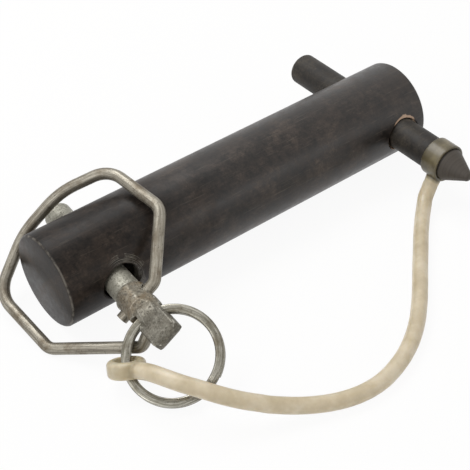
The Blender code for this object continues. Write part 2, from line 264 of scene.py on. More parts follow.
# %% [markdown]
# Steel blackened in a hot salt bath is a thin oxide on bare steel. It is nearly black, a
# little brown where oil has dried, and it keeps the fine lines of the drawn bar underneath.
# Wide stains set the tone. Mottle, streaks and grit break it up, and then brown patches,
# rubbed lines and slanted scratches are laid over it.

# %% Black oxide steel
def black_oxide(name, along, patches, tones, ior, rough):
    """Blackened drawn bar. Along is how much the streaks are stretched on X, Y and Z."""
    material, tree, shader = new_material(name, IOR=ior)
    place = add(tree, "TexCoord").outputs["Object"]
    stretched = add(tree, "Mapping", {"Vector": place, "Scale": along})
    slanted = add(tree, "Mapping", {
        "Vector": place, "Rotation": (0.4, 0.7, 0.3), "Scale": (0.05, 1.0, 1.0),
    })
    stains, streaks, mottle, grit, patch, scratches = [
        add(tree, "TexNoise", {
            "Vector": where, "Scale": per(size), "Detail": detail, "Roughness": broken,
        })
        for where, size, detail, broken in (
            (place, 9.0, 6.0, 0.68),
            (stretched, 0.9, 4.0, 0.62),
            (place, 1.9, 5.0, 0.68),
            (place, 0.5, 3.0, 0.65),
            (place, 14.0, 7.0, 0.72),
            (slanted, 0.42, 2.0, 0.5),
        )
    ]
    tone = add(tree, "ValToRGB", {0: stains}, stops=[
        (0.34, tones[0]), (0.50, tones[1]), (0.66, tones[2]),
    ])
    for pattern, share, low in ((mottle, 0.80, 0.14), (streaks, 0.30, 0.22), (grit, 0.50, 0.20)):
        spread = add(tree, "MapRange", {
            "Value": pattern, "From Min": 0.34, "From Max": 0.66,
            "To Min": low, "To Max": 1.0 - low,
        })
        tone = add(tree, "Mix", data_type="RGBA", blend_type="OVERLAY", feeds={
            0: share, 6: tone, 7: spread,
        })
    browned = lay_over(tree, tone, "#362d26", patch, 0.52, 0.68, patches)
    rubbed_and_highlit = lay_over(tree, browned, "#5c554d", streaks, 0.58, 0.72, 0.10)
    scratched = lay_over(tree, rubbed_and_highlit, "#736c62", scratches, 0.64, 0.72, 0.18)
    grain = add(tree, "Mix", data_type="FLOAT", feeds={0: 0.5, 2: streaks, 3: grit})
    gloss = add(tree, "MapRange", {
        "Value": mottle, "From Min": 0.3, "From Max": 0.7,
        "To Min": rough - 0.08, "To Max": rough + 0.10,
    })
    relief = add(tree, "Bump", {"Height": grain, "Strength": 0.5, "Distance": 0.06 * MM})
    lead(tree, shader, Base_Color=scratched, Roughness=gloss, Normal=relief)
    return material, tree, shader, scratched, place


shank_steel, shank_tree, shank_shader, shank_colour, shank_place = black_oxide(
    "black_oxide_shank", (0.05, 1.0, 1.0), 0.6, ("#181411", "#251f1b", "#39312b"), 1.43, 0.38
)
bar_steel, bar_tree, bar_shader, bar_colour, bar_place = black_oxide(
    "black_oxide_bar", (1.0, 0.05, 1.0), 0.35, ("#201c18", "#2b2722", "#39342d"), 1.38, 0.56
)
print("blackened:", shank_steel.name, bar_steel.name)

# %% [markdown]
# The oxide is thin on edges, so both cross holes have a ragged bare rim. It is a ring that is
# measured from the axis of the hole, with a reach that noise moves in and out.

# %% Ragged ring round a hole
PIN_HOLE_X = 15.0 * MM
PIN_HOLE_R = 5.1 * MM
BAR_X = 110.3 * MM
BAR_R = 4.6 * MM
BORE_GAP = 0.3 * MM


def from_hole(hole_x):
    """The way from the axis of a hole along Y, and its length."""
    flat = add(shank_tree, "VectorMath", operation="MULTIPLY", feeds={
        0: shank_place, 1: (1.0, 0.0, 1.0),
    })
    way = add(shank_tree, "VectorMath", operation="SUBTRACT", feeds={
        0: flat, 1: (hole_x, 0.0, 0.0),
    })
    return way, add(shank_tree, "VectorMath", operation="LENGTH", feeds={0: way})


def rim_band(way, away, inner, outer, wider_up):
    """1 on a ragged ring round a hole, wider on its upper side, and 0 outside it."""
    upward = add(shank_tree, "VectorMath", operation="DOT_PRODUCT", feeds={
        0: way, 1: (0.35, 0.0, 0.94),
    })
    lift = add(shank_tree, "MapRange", {
        "Value": upward, "From Min": 2.5 * MM, "From Max": 6.0 * MM, "To Max": wider_up,
    })
    wobble = add(shank_tree, "TexNoise", {"Vector": shank_place, "Scale": per(2.0), "Detail": 4.0})
    reach = add(shank_tree, "MapRange", {
        "Value": wobble, "From Min": 0.35, "From Max": 0.65, "To Min": inner, "To Max": outer,
    })
    lifted = add(shank_tree, "Math", operation="ADD", feeds={0: reach, 1: lift})
    gap = add(shank_tree, "Math", operation="SUBTRACT", feeds={0: lifted, 1: away})
    return add(shank_tree, "MapRange", {
        "Value": gap, "From Min": -0.10 * MM, "From Max": 0.10 * MM,
    })


print("rims at", round(PIN_HOLE_X / MM, 1), "and", round(BAR_X / MM, 1), "mm")

# %% [markdown]
# The hole that the bar is pressed into has a rusty rim, and the safety pin's hole has bright
# turning marks on the side where the pin rubs. Both are mixed into the shank's colour.

# %% Rust and bare steel
bar_way, from_bar = from_hole(BAR_X)
rust = rim_band(bar_way, from_bar, BAR_R + 0.25 * MM, BAR_R + 0.55 * MM, 0.75 * MM)
rusty = add(shank_tree, "Mix", data_type="RGBA", feeds={
    0: rust, 6: shank_colour, 7: colour("#c2a68f"),
})
pin_way, from_pin = from_hole(PIN_HOLE_X)
bare = rim_band(pin_way, from_pin, PIN_HOLE_R + 1.0 * MM, PIN_HOLE_R + 2.4 * MM, 0.0)
rubbed_way = add(shank_tree, "VectorMath", operation="DOT_PRODUCT", feeds={
    0: pin_way, 1: (0.94, 0.0, 0.34),
})
rubbed_side = add(shank_tree, "MapRange", {
    "Value": rubbed_way, "From Min": -1.5 * MM, "From Max": 4.0 * MM,
})
turning = add(shank_tree, "TexNoise", noise_dimensions="1D", feeds={
    "W": from_pin, "Scale": per(0.22), "Detail": 3.0, "Roughness": 0.7,
})
turning_edge = add(shank_tree, "MapRange", {"Value": turning, "From Min": 0.48, "From Max": 0.62})
patchy = add(shank_tree, "TexNoise", {
    "Vector": shank_place, "Scale": per(3.0), "Detail": 4.0, "Roughness": 0.65,
})
patchy_edge = add(shank_tree, "MapRange", {
    "Value": patchy, "From Min": 0.38, "From Max": 0.56, "To Max": 0.8,
})
for share in (rubbed_side, turning_edge, patchy_edge):
    bare = add(shank_tree, "Math", operation="MULTIPLY", feeds={0: bare, 1: share})
rimmed = add(shank_tree, "Mix", data_type="RGBA", feeds={0: bare, 6: rusty, 7: colour("#a5a298")})
print("bare steel starts", round(PIN_HOLE_R / MM, 1), "mm from the hole's axis")

# %% [markdown]
# The shank is painted darker and less shiny towards its near end, as painted shade, and the
# edge of its face gets a thin ring of painted highlight. One ramp along the shank gives the
# first, and a narrow ring at the edge the second.

# %% Painted shade on the near end, painted highlight on its rim
SHANK_R = 12.7 * MM
SHADE_FROM = 16.0 * MM
SHADE_TO = 52.0 * MM
SHADE_DARKEST = 0.88
FACE_SHADE = 0.92

along_shank = add(shank_tree, "SeparateXYZ", {0: shank_place}).outputs["X"]
shade_edge = add(shank_tree, "TexNoise", {
    "Vector": shank_place, "Scale": per(12.0), "Detail": 4.0, "Roughness": 0.6,
})
shade_shift = add(shank_tree, "MapRange", {
    "Value": shade_edge, "From Min": 0.3, "From Max": 0.7, "To Min": -9.0 * MM, "To Max": 9.0 * MM,
})
shade_place = add(shank_tree, "Math", operation="ADD", feeds={0: along_shank, 1: shade_shift})
# Painted shade: the colour is darkened towards the near end, and on the end face by a fixed share.
shade_factor = add(shank_tree, "MapRange", interpolation_type="SMOOTHSTEP", feeds={
    "Value": shade_place, "From Min": SHADE_FROM, "From Max": SHADE_TO,
    "To Min": SHADE_DARKEST,
})
off_face = add(shank_tree, "MapRange", {
    "Value": along_shank, "From Min": 0.10 * MM, "From Max": 0.40 * MM,
})
shade_factor_with_face = add(shank_tree, "Mix", data_type="FLOAT", feeds={0: off_face, 2: FACE_SHADE, 3: shade_factor})
end_shaded_colour = add(shank_tree, "VectorMath", operation="SCALE", feeds={0: rimmed, "Scale": shade_factor_with_face})
shine = add(shank_tree, "MapRange", {
    "Value": shade_factor_with_face, "From Min": SHADE_DARKEST, "From Max": 1.0,
    "To Min": 0.20, "To Max": 0.50,
})
across = add(shank_tree, "VectorMath", operation="MULTIPLY", feeds={
    0: shank_place, 1: (0.0, 1.0, 1.0),
})
from_middle = add(shank_tree, "VectorMath", operation="LENGTH", feeds={0: across})
at_side = add(shank_tree, "MapRange", {
    "Value": from_middle, "From Min": SHANK_R - 0.60 * MM, "From Max": SHANK_R - 0.30 * MM,
})
at_end = add(shank_tree, "MapRange", {
    "Value": along_shank, "From Min": 0.60 * MM, "From Max": 0.35 * MM,
})
# Painted highlight: a thin, patchy light ring on the rim of the near face.
rim_highlight = at_side
for share in (at_end, patchy_edge):
    rim_highlight = add(shank_tree, "Math", operation="MULTIPLY", feeds={0: rim_highlight, 1: share})
rim_highlighted = add(shank_tree, "Mix", data_type="RGBA", feeds={0: rim_highlight, 6: end_shaded_colour, 7: colour("#726e67")})
lead(shank_tree, shank_shader, Base_Color=rim_highlighted, Specular_IOR_Level=shine)
# Painted shade, not oil, fades out over this length of the shank.
print("oil fades out over", round((SHADE_TO - SHADE_FROM) / MM), "mm of the shank")

# %% [markdown]
# Turned pieces are grown from a disc. It is extruded ring by ring along its axis, and each
# new ring is resized, as a turner works down a bar. This is easier to change than a drawn
# profile, because each step is one cut: how far along, and what radius. Plain lengths of bar
# are cylinders with rounded rims.

# %% Helpers for turned pieces
ALONG_X = Vector((1.0, 0.0, 0.0))
ALONG_Y = Vector((0.0, 1.0, 0.0))


def grow(start, way, radius, cuts, sides):
    """A disc extruded along a direction. Each cut is (advance, new radius)."""
    deselect()
    turn = way.to_track_quat("Z", "Y").to_euler()
    bpy.ops.mesh.primitive_circle_add(
        vertices=sides, radius=radius, fill_type="NGON", location=start, rotation=turn
    )
    piece = bpy.context.object
    bpy.ops.object.mode_set(mode="EDIT")
    bpy.ops.mesh.select_all(action="SELECT")
    centre = start
    for advance, wider in cuts:
        centre = centre + way * advance
        bpy.ops.mesh.extrude_region_move(TRANSFORM_OT_translate={"value": way * advance})
        factor = wider / radius
        bpy.ops.transform.resize(value=(factor, factor, factor), center_override=centre)
        radius = wider
    outwards()
    return piece


def outwards():
    """In edit mode, merges doubles and points all faces out."""
    bpy.ops.mesh.select_all(action="SELECT")
    bpy.ops.mesh.remove_doubles(threshold=0.002 * MM)
    bpy.ops.mesh.normals_make_consistent(inside=False)
    bpy.ops.mesh.select_all(action="DESELECT")


def round_bar(place, turn, way, radius, length, sides, rounding, steps, profile=0.5):
    """A cylinder along a way, with its two rims picked and bevelled."""
    deselect()
    bpy.ops.mesh.primitive_cylinder_add(
        vertices=sides, radius=radius, depth=length, location=place, rotation=turn
    )
    piece = bpy.context.object
    bpy.ops.object.mode_set(mode="EDIT")
    bpy.ops.mesh.select_mode(type="EDGE")
    bpy.ops.mesh.select_all(action="DESELECT")
    cage = bmesh.from_edit_mesh(piece.data)
    for edge in cage.edges:
        one, two = (piece.matrix_world @ v.co for v in edge.verts)
        if abs((one - two).dot(way)) < 0.01 * MM:
            edge.select_set(True)
    bmesh.update_edit_mesh(piece.data)
    bpy.ops.mesh.bevel(offset=rounding, segments=steps, profile=profile)
    bpy.ops.object.mode_set(mode="OBJECT")
    return piece


print("turning helpers ready")

# %% [markdown]
# Drills and blocks cut the pieces. Each cut is a Boolean that is applied at once, so that its
# tool can go. A finished piece gets its name, its smoothing and its material, and is tied to
# the solids that it stands for.

# %% Helpers for cut pieces
def only(piece):
    """Selects one object and makes it active."""
    deselect()
    piece.select_set(True)
    bpy.context.view_layer.objects.active = piece


def apply(piece, kind, **settings):
    """Adds a modifier with its settings and applies it."""
    only(piece)
    step = piece.modifiers.new(kind.lower(), kind)
    for name, value in settings.items():
        setattr(step, name, value)
    bpy.ops.object.modifier_apply(modifier=step.name)


def cut(piece, tool, operation="DIFFERENCE"):
    """Applies a Boolean and removes its tool."""
    apply(piece, "BOOLEAN", object=tool, operation=operation, solver="EXACT")
    bpy.data.objects.remove(tool, do_unlink=True)


def place_in_mesh(piece, name, angle):
    """Names a finished piece, puts its place in its mesh and smooths it up to an angle."""
    only(piece)
    bpy.ops.object.transform_apply(location=True, rotation=True, scale=True)
    bpy.ops.object.shade_smooth_by_angle(angle=radians(angle))
    piece.name = name
    piece.data.name = name
    print(name, len(piece.data.polygons), "faces")


def dress(piece, material, slot, body, *nodes):
    """Gives a finished piece its material, and lets it stand for its solids. The slot is not used.
    """
    piece.data.materials.clear()
    piece.data.materials.append(material)
    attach(piece, body)
    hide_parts(*nodes)


print("cutting helpers ready")

# %% [markdown]
# The shank is a length of bright bar with both ends chamfered. A cylinder gives the bar, an
# edit-mode bevel rounds its two rims, and the cross holes are cut by drills whose mouths
# flare, which leaves the small countersink that the photograph shows.

# %% Shank
SHANK_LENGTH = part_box("shank")[1][0]
SHANK_CHAMFER = 0.7 * MM
HOLE_CHAMFER = 0.8 * MM

shank = round_bar(
    (SHANK_LENGTH / 2, 0.0, 0.0), (0.0, pi / 2, 0.0), ALONG_X,
    SHANK_R, SHANK_LENGTH, 160, SHANK_CHAMFER, 3, 0.42,
)
for hole_x, radius in ((PIN_HOLE_X, PIN_HOLE_R), (BAR_X, BAR_R + BORE_GAP)):
    flare = 2 * HOLE_CHAMFER
    mouth = SHANK_R + HOLE_CHAMFER
    drill_cuts = [(flare, radius), (2 * (mouth - flare), radius), (flare, radius + flare)]
    start = Vector((hole_x, -mouth, 0.0))
    cut(shank, grow(start, ALONG_Y, radius + flare, drill_cuts, 96))
place_in_mesh(shank, "turned_shank", 30)
dress(shank, shank_steel, "shank", "shank", "shank")

# %% [markdown]
# The cross bar is turned from thinner bar. Its back end has a rounded edge and its front end
# a cone with a blunt tip, so that it finds its way into the linkage. The cone is a string of
# short cuts, because a rounded tip needs rings that get closer together. Fine rings from the
# lathe tool stay on it, as noise along its axis.

# %% Cross bar
bar_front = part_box("cross_bar")[0][1]
bar_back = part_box("cross_bar")[1][1]
CONE_LENGTH = 7.6 * MM
TIP_R = 1.5 * MM
BACK_EDGE = 1.0 * MM
FIRST_R = 0.1 * MM

cone_start = bar_front + CONE_LENGTH
cone_angle = atan2(BAR_R - TIP_R, CONE_LENGTH - TIP_R)
cuts = []
here = bar_front
for step in range(1, 7):
    swing = step / 6 * (pi / 2 - cone_angle * 0.4)
    ahead = bar_front + TIP_R * (1 - cos(swing))
    cuts.append((ahead - here, TIP_R * sin(swing) + 0.05 * MM))
    here = ahead
cuts.append((cone_start - 0.4 * MM - here, BAR_R - 0.16 * MM))
cuts.append((0.25 * MM, BAR_R - 0.045 * MM))
cuts.append((0.35 * MM, BAR_R))
here = cone_start + 0.2 * MM
cuts.append((bar_back - BACK_EDGE - here, BAR_R))
for step in range(1, 6):
    swing = step / 5 * pi / 2
    ahead = BACK_EDGE * (sin(swing) - sin(swing - pi / 10))
    cuts.append((ahead, BAR_R - BACK_EDGE * (1 - cos(swing))))
bar = grow(Vector((BAR_X, bar_front, 0.0)), ALONG_Y, FIRST_R, cuts, 96)
place_in_mesh(bar, "turned_cross_bar", 40)

along_bar = add(bar_tree, "SeparateXYZ", {0: bar_place}).outputs["Y"]
on_cone = add(bar_tree, "MapRange", {
    "Value": along_bar, "From Min": cone_start + 0.2 * MM, "From Max": cone_start - 0.2 * MM,
})
cut_lines = add(bar_tree, "TexNoise", noise_dimensions="1D", feeds={
    "W": along_bar, "Scale": per(0.5), "Detail": 3.0, "Roughness": 0.6,
})
cut_steel = add(bar_tree, "ValToRGB", {0: cut_lines}, stops=[
    (0.35, "#433e39"), (0.65, "#4b4640"),
])
coned = add(bar_tree, "Mix", data_type="RGBA", feeds={0: on_cone, 6: bar_colour, 7: cut_steel})
lead(bar_tree, bar_shader, Base_Color=coned)
dress(bar, bar_steel, "cross_bar", "shank", "cross_bar")

# %% [markdown]
# The safety pin lies across the shank at a slight angle and rolled on its side. Everything
# on it is easiest to place in its own frame, whose X runs along the pin towards its head, so
# one matrix carries pin measures into the row frame.

# %% The safety pin's frame
PIN_ROLL = radians(35.0)
PIN_HEADING = radians(-94.1)
PIN_TURN = Euler((PIN_ROLL, 0.0, PIN_HEADING)).to_matrix()
PIN = Matrix.Translation((PIN_HOLE_X, 0.0, 0.0)) @ PIN_TURN.to_4x4()
PIN_WAY = (PIN.to_3x3() @ ALONG_X).normalized()
PIN_ACROSS = (PIN.to_3x3() @ ALONG_Y).normalized()


def on_pin(x, y=0.0, z=0.0):
    """A point given in millimetres in the pin's frame, in the row frame."""
    return PIN @ (Vector((x, y, z)) * MM)


print("pin points along", [round(c, 3) for c in PIN_WAY])

# %% [markdown]
# Cheap cast zinc or iron has no crisp edges. Its skin is grainy and grey, with small dark
# pits. The stem stays clean because it sits in the hole, brown dirt sticks to the hub, and the
# tongue is dull. Hollows and inner corners get painted shade, and convex edges a painted
# highlight that also stands for rubbed metal. The mesh is fine enough for its own curvature to
# find them.

# %% Cast, dull-plated metal
def cast_metal():
    """Grainy casting, toned along the pin, with painted shade in hollows and a painted highlight on
    edges.
    """
    material, tree, shader = new_material("dull_plated_casting", Metallic=0.45)
    place = add(tree, "TexCoord").outputs["Object"]
    skin, cloud, fine = [
        add(tree, "TexNoise", {
            "Vector": place, "Scale": per(size), "Detail": detail, "Roughness": broken,
        })
        for size, detail, broken in ((1.0, 8.0, 0.78), (3.8, 6.0, 0.68), (0.45, 3.0, 0.6))
    ]
    base = add(tree, "ValToRGB", {0: skin}, stops=[
        (0.36, "#59564e"), (0.50, "#838075"), (0.64, "#aba89c"),
    ])
    from_start = add(tree, "VectorMath", operation="SUBTRACT", feeds={
        0: place, 1: tuple(on_pin(0.0)),
    })
    along = add(tree, "VectorMath", operation="DOT_PRODUCT", feeds={
        0: from_start, 1: tuple(PIN_WAY),
    })
    on_hub = add(tree, "MapRange", {"Value": along, "From Min": 17.2 * MM, "From Max": 17.8 * MM})
    past_hub = add(tree, "MapRange", {
        "Value": along, "From Min": 24.0 * MM, "From Max": 28.0 * MM,
        "To Min": 1.0, "To Max": 0.25,
    })
    stain = add(tree, "MapRange", {
        "Value": cloud, "From Min": 0.40, "From Max": 0.62, "To Min": 0.12, "To Max": 0.80,
    })
    clean_stem = lay_over(tree, base, "#b4b3a6", along, 17.8 * MM, 17.2 * MM, 0.45)
    for share in (on_hub, past_hub):
        stain = add(tree, "Math", operation="MULTIPLY", feeds={0: stain, 1: share})
    stained = add(tree, "Mix", data_type="RGBA", feeds={
        0: stain, 6: clean_stem, 7: colour("#77674f"),
    })
    dulled = lay_over(tree, stained, "#55524a", along, 27.6 * MM, 29.6 * MM, 0.52)
    pit = add(tree, "MapRange", {"Value": fine, "From Min": 0.54, "From Max": 0.64, "To Max": 0.70})
    pitted = add(tree, "Mix", data_type="RGBA", feeds={0: pit, 6: dulled, 7: colour("#3c372e")})
    curving = add(tree, "NewGeometry").outputs["Pointiness"]
    # Painted shade: hollows and inner corners, found by the mesh's curvature, are darkened.
    shaded_hollows = lay_over(tree, pitted, "#3a342b", curving, 0.50, 0.44, 0.75)
    # Painted highlight: convex edges are made bright, which also stands for rubbed metal.
    rubbed_and_highlit = lay_over(tree, shaded_hollows, "#dcdad0", curving, 0.512, 0.56, 0.85)
    height = add(tree, "Math", operation="SUBTRACT", feeds={0: skin, 1: pit})
    relief = add(tree, "Bump", {"Height": height, "Strength": 0.5, "Distance": 0.10 * MM})
    gloss = add(tree, "MapRange", {
        "Value": skin, "From Min": 0.3, "From Max": 0.7, "To Min": 0.60, "To Max": 0.38,
    })
    lead(tree, shader, Base_Color=rubbed_and_highlit, Roughness=gloss, Normal=relief)
    return material


casting = cast_metal()
print("casting material", casting.name)

# %% [markdown]
# The safety pin is a casting with a round stem and hub, so it is grown like a turned piece.
# Its tip is chamfered, and a step marks where the hub begins.

# %% Safety pin
STEM_R = 3.75
HUB_R = 4.35
TIP_X = -20.7
HUB_START = 17.4
HUB_END = 25.8
TONGUE_START = 29.5
TONGUE_END = 36.2

stem_cuts = [
    (0.12, STEM_R - 0.35),
    (0.55, STEM_R),
    (HUB_START - TIP_X - 0.75, STEM_R),
    (0.08, HUB_R - 0.6),
    (0.25, HUB_R - 0.2),
    (0.45, HUB_R),
    (TONGUE_END - HUB_START - 0.7, HUB_R),
]
stem_cuts = [(advance * MM, radius * MM) for advance, radius in stem_cuts]
pin = grow(on_pin(TIP_X), PIN_WAY, (STEM_R - 0.8) * MM, stem_cuts, 96)
print("pin is", round(TONGUE_END - TIP_X, 1), "mm long")

# %% [markdown]
# Three blocks then each keep only what is inside them: one gives the hub and tongue their
# flats, one their sides, and one takes the long corners off the tongue.

# %% Hub and tongue
TONGUE_HALF = 2.2
HUB_FLAT = 4.1
HUB_SIDE = 4.2
TONGUE_SIDE = 3.85
BLOCK_START = TIP_X - 4
BLOCK_HALF = 15.0
FAR = 9.0
CORNER = TONGUE_SIDE + TONGUE_HALF - 0.45


def pin_block(corners, across):
    """A closed block in the pin's frame: an outline pushed along a way, in millimetres."""
    deselect()
    bpy.ops.mesh.primitive_plane_add(size=2 * MM)
    block = bpy.context.object
    cage = bmesh.new()
    cage.faces.new([cage.verts.new(on_pin(*corner)) for corner in corners])
    cage.to_mesh(block.data)
    cage.free()
    bpy.ops.object.mode_set(mode="EDIT")
    bpy.ops.mesh.select_all(action="SELECT")
    way = PIN.to_3x3() @ Vector(across) * MM
    bpy.ops.mesh.extrude_region_move(TRANSFORM_OT_translate={"value": way})
    outwards()
    return block


flats = [
    (BLOCK_START, FAR), (HUB_END - 1.9, FAR), (HUB_END - 1.8, HUB_FLAT), (HUB_END - 0.8, 3.4),
    (HUB_END + 0.3, 2.6), (TONGUE_START, TONGUE_HALF),
    (TONGUE_END - 1.7, TONGUE_HALF), (TONGUE_END - 0.6, 1.5), (TONGUE_END, 0.5),
]
sides = [
    (BLOCK_START, FAR), (HUB_START + 3.0, FAR), (HUB_START + 3.6, HUB_SIDE), (HUB_END, HUB_SIDE),
    (TONGUE_START, TONGUE_SIDE), (TONGUE_END - 1.1, TONGUE_SIDE), (TONGUE_END - 0.25, 2.3),
    (TONGUE_END, 0.5),
]
flats += [(x, -side) for x, side in reversed(flats)]
sides += [(x, -side) for x, side in reversed(sides)]
corners = [(CORNER, 0.0), (0.0, CORNER), (-CORNER, 0.0), (0.0, -CORNER)]
for outline, across in (
    ([(x, -BLOCK_HALF, side) for x, side in flats], (0.0, 2 * BLOCK_HALF, 0.0)),
    ([(x, side, -BLOCK_HALF) for x, side in sides], (0.0, 0.0, 2 * BLOCK_HALF)),
    ([(BLOCK_START, *corner) for corner in corners], (70.0, 0.0, 0.0)),
):
    cut(pin, pin_block(outline, across), "INTERSECT")
print("pin is", len(pin.data.vertices), "points before its holes")

# %% [markdown]
# A round lump lies across the waist, and the split ring goes through it on a slant. It
# follows the ring's own line, so its direction is taken from the ring's joint in the packed
# record. A second hole crosses the hub, as an eye for the bail's first end. A remesh then
# softens every edge like a casting, and a shallow displacement roughens it.

# %% Holes in the head
WIRE_R = 1.55
BAIL_EYE_X = 20.8
EYE_R = WIRE_R + 0.3
RING_HOLE = on_pin(27.15, 0.17, 0.44)
RING_HOLE_R = 2.05
RING_HOLE_SHIFT = 0.35
LUMP_R = 3.45
LUMP_HALF = 2.9


def melt(piece, voxel, passes):
    """Remeshes a piece in small voxels and smooths it, so that its parts run together."""
    apply(piece, "REMESH", mode="VOXEL", voxel_size=voxel)
    apply(piece, "SMOOTH", factor=0.5, iterations=passes)


joints = {joint["name"]: joint for joint in frame["joints"]}
ring_centre = Vector(joints["ring_turn"]["pos_m"])
ring_axis = Vector(joints["ring_turn"]["axis"]).normalized()
to_hole = (RING_HOLE - ring_centre).normalized()
ring_line = ring_axis.cross(to_hole).normalized()

lump_cuts = [
    (0.35, LUMP_R - 0.7),
    (0.7, LUMP_R),
    (2 * LUMP_HALF - 2.1, LUMP_R),
    (0.7, LUMP_R - 0.7),
    (0.35, LUMP_R - 1.5),
]
lump_cuts = [(advance * MM, radius * MM) for advance, radius in lump_cuts]
lump_start = RING_HOLE - ring_line * LUMP_HALF * MM
cut(pin, grow(lump_start, ring_line, (LUMP_R - 1.5) * MM, lump_cuts, 64), "UNION")

eye_start = on_pin(BAIL_EYE_X, -8.0)
cut(pin, grow(eye_start, PIN_ACROSS, EYE_R * MM, [(16 * MM, EYE_R * MM)], 48))
hole_start = RING_HOLE - to_hole * RING_HOLE_SHIFT * MM - ring_line * 9 * MM
cut(pin, grow(hole_start, ring_line, RING_HOLE_R * MM, [(18 * MM, RING_HOLE_R * MM)], 48))
melt(pin, 0.17 * MM, 12)
uneven = bpy.data.textures.new("cast_skin", "CLOUDS")
uneven.noise_scale = 0.9 * MM
uneven.noise_depth = 2
apply(pin, "DISPLACE", texture=uneven, texture_coords="LOCAL", strength=0.07 * MM, mid_level=0.5)
place_in_mesh(pin, "cast_safety_pin", 60)
dress(pin, casting, "linchpin", "linchpin", "linchpin")

# %% [markdown]
# Wires are bent the way a bender works: push the wire straight, then swing its end round a
# former. In edit mode that is an extrude and a spin of the end face.

# %% Helpers for bent wire
# With no window a spin turns against the right-hand rule
SPIN_SIGN = -1.0


def bend_at(corners, index):
    """The arc that rounds a corner: its start, centre and end, its axis and its angle."""
    place, former = corners[index]
    back = (corners[index - 1][0] - place).normalized()
    ahead = (corners[index + 1][0] - place).normalized()
    half = back.angle(ahead) / 2
    centre = place + (back + ahead).normalized() * former / sin(half)
    start = place + back * former / tan(half)
    end = place + ahead * former / tan(half)
    return start, centre, end, (-back).cross(ahead), pi - 2 * half


def bend(corners, radius, sides, step_angle):
    """A wire through (corner, bend radius), as straight pushes and swings round formers."""
    here, last = corners[0][0], corners[-1][0]
    wire = grow(here, (corners[1][0] - here).normalized(), radius, [], sides)
    bpy.ops.mesh.select_all(action="SELECT")
    for index in range(1, len(corners) - 1):
        start, centre, end, axis, swing = bend_at(corners, index)
        bpy.ops.mesh.extrude_region_move(TRANSFORM_OT_translate={"value": start - here})
        steps = max(3, round(swing / step_angle))
        bpy.ops.mesh.spin(steps=steps, angle=SPIN_SIGN * swing, center=centre, axis=axis)
        here = end
    bpy.ops.mesh.extrude_region_move(TRANSFORM_OT_translate={"value": last - here})
    cage = bmesh.from_edit_mesh(wire.data)
    ends = [wire.matrix_world @ v.co for v in cage.verts if v.select]
    middle = sum(ends, Vector()) / len(ends)
    print("wire ends", round((middle - last).length / MM, 3), "mm from its last point")
    outwards()
    return wire


print("bending helpers ready")

# %% [markdown]
# Each point of a finished wire stores where it lies in the strand, across it and along it, so
# that a pattern can follow the wire through its bends.

# %% Marks along a wire
ARC_STEPS = 12


def rounded_route(corners, spacing):
    """Points along a bent wire's middle, for measuring and marking."""
    route = [corners[0][0]]
    for index in range(1, len(corners) - 1):
        start, centre, _, axis, swing = bend_at(corners, index)
        for step in range(ARC_STEPS + 1):
            turn = Matrix.Rotation(swing * step / ARC_STEPS, 3, axis.normalized())
            route.append(centre + turn @ (start - centre))
    route.append(corners[-1][0])
    dense = []
    for one, two in zip(route, route[1:]):
        count = max(1, round((two - one).length / spacing))
        dense += [one.lerp(two, step / count) for step in range(count)]
    return dense + [route[-1]]


def route_length(route):
    """The length of a line through points."""
    return sum((two - one).length for one, two in zip(route, route[1:]))


def strand_frames(route):
    """Distance and two cross directions at each point of a route, carried without twist."""
    frames = []
    way = (route[1] - route[0]).normalized()
    side = way.orthogonal().normalized()
    gone = 0.0
    for index, place in enumerate(route):
        ahead = route[min(index + 1, len(route) - 1)] - route[max(index - 1, 0)]
        ahead.normalize()
        side = (way.rotation_difference(ahead) @ side).normalized()
        way = ahead
        if index:
            gone += (place - route[index - 1]).length
        frames.append((gone, side.copy(), way.cross(side)))
    return frames


def mark_strand(piece, route):
    """Stores, on each point, its offsets across the strand and its distance along it."""
    frames = strand_frames(route)
    tree = KDTree(len(route))
    for index, place in enumerate(route):
        tree.insert(place, index)
    tree.balance()
    strand = piece.data.attributes.new("strand", "FLOAT_VECTOR", "POINT")
    for vertex in piece.data.vertices:
        near, index, _ = tree.find(vertex.co)
        gone, side, other = frames[index]
        off = vertex.co - near
        strand.data[vertex.index].vector = (off.dot(side), off.dot(other), gone)


print("a bend is marked in", ARC_STEPS, "steps")

# %% [markdown]
# Zinc on drawn wire is a warm grey with a soft shine. The die leaves fine lines along the
# wire, and the plating is dull brown in places. The lines are noise on the strand's own
# coordinates, squeezed along its length, so they follow every bend. The ring's spring steel
# is brighter and smoother.

# %% Drawn and plated wire
def drawn_wire(name, tones, stain, metallic, rough, line_gap):
    """Plated wire with lines along its strand, stains and dark specks."""
    material, tree, shader = new_material(name, Metallic=metallic)
    strand = add(tree, "Attribute", attribute_name="strand").outputs["Vector"]
    place = add(tree, "TexCoord").outputs["Object"]
    drawn = add(tree, "Mapping", {"Vector": strand, "Scale": (1.0, 1.0, 0.05)})
    lines, cloud, specks = [
        add(tree, "TexNoise", {
            "Vector": where, "Scale": per(size), "Detail": detail, "Roughness": broken,
        })
        for where, size, detail, broken in (
            (drawn, line_gap, 4.0, 0.6), (place, 5.0, 5.0, 0.65), (place, 0.5, 2.0, 0.6),
        )
    ]
    base = add(tree, "ValToRGB", {0: lines}, stops=[
        (0.30, tones[0]), (0.50, tones[1]), (0.68, tones[2]),
    ])
    stained = lay_over(tree, base, stain, cloud, 0.48, 0.66, 0.70)
    specked = lay_over(tree, stained, "#3b342b", specks, 0.62, 0.70, 0.7)
    gloss = add(tree, "MapRange", {
        "Value": cloud, "From Min": 0.3, "From Max": 0.7,
        "To Min": rough - 0.06, "To Max": rough + 0.10,
    })
    relief = add(tree, "Bump", {"Height": lines, "Strength": 0.3, "Distance": 0.05 * MM})
    lead(tree, shader, Base_Color=specked, Roughness=gloss, Normal=relief)
    return material


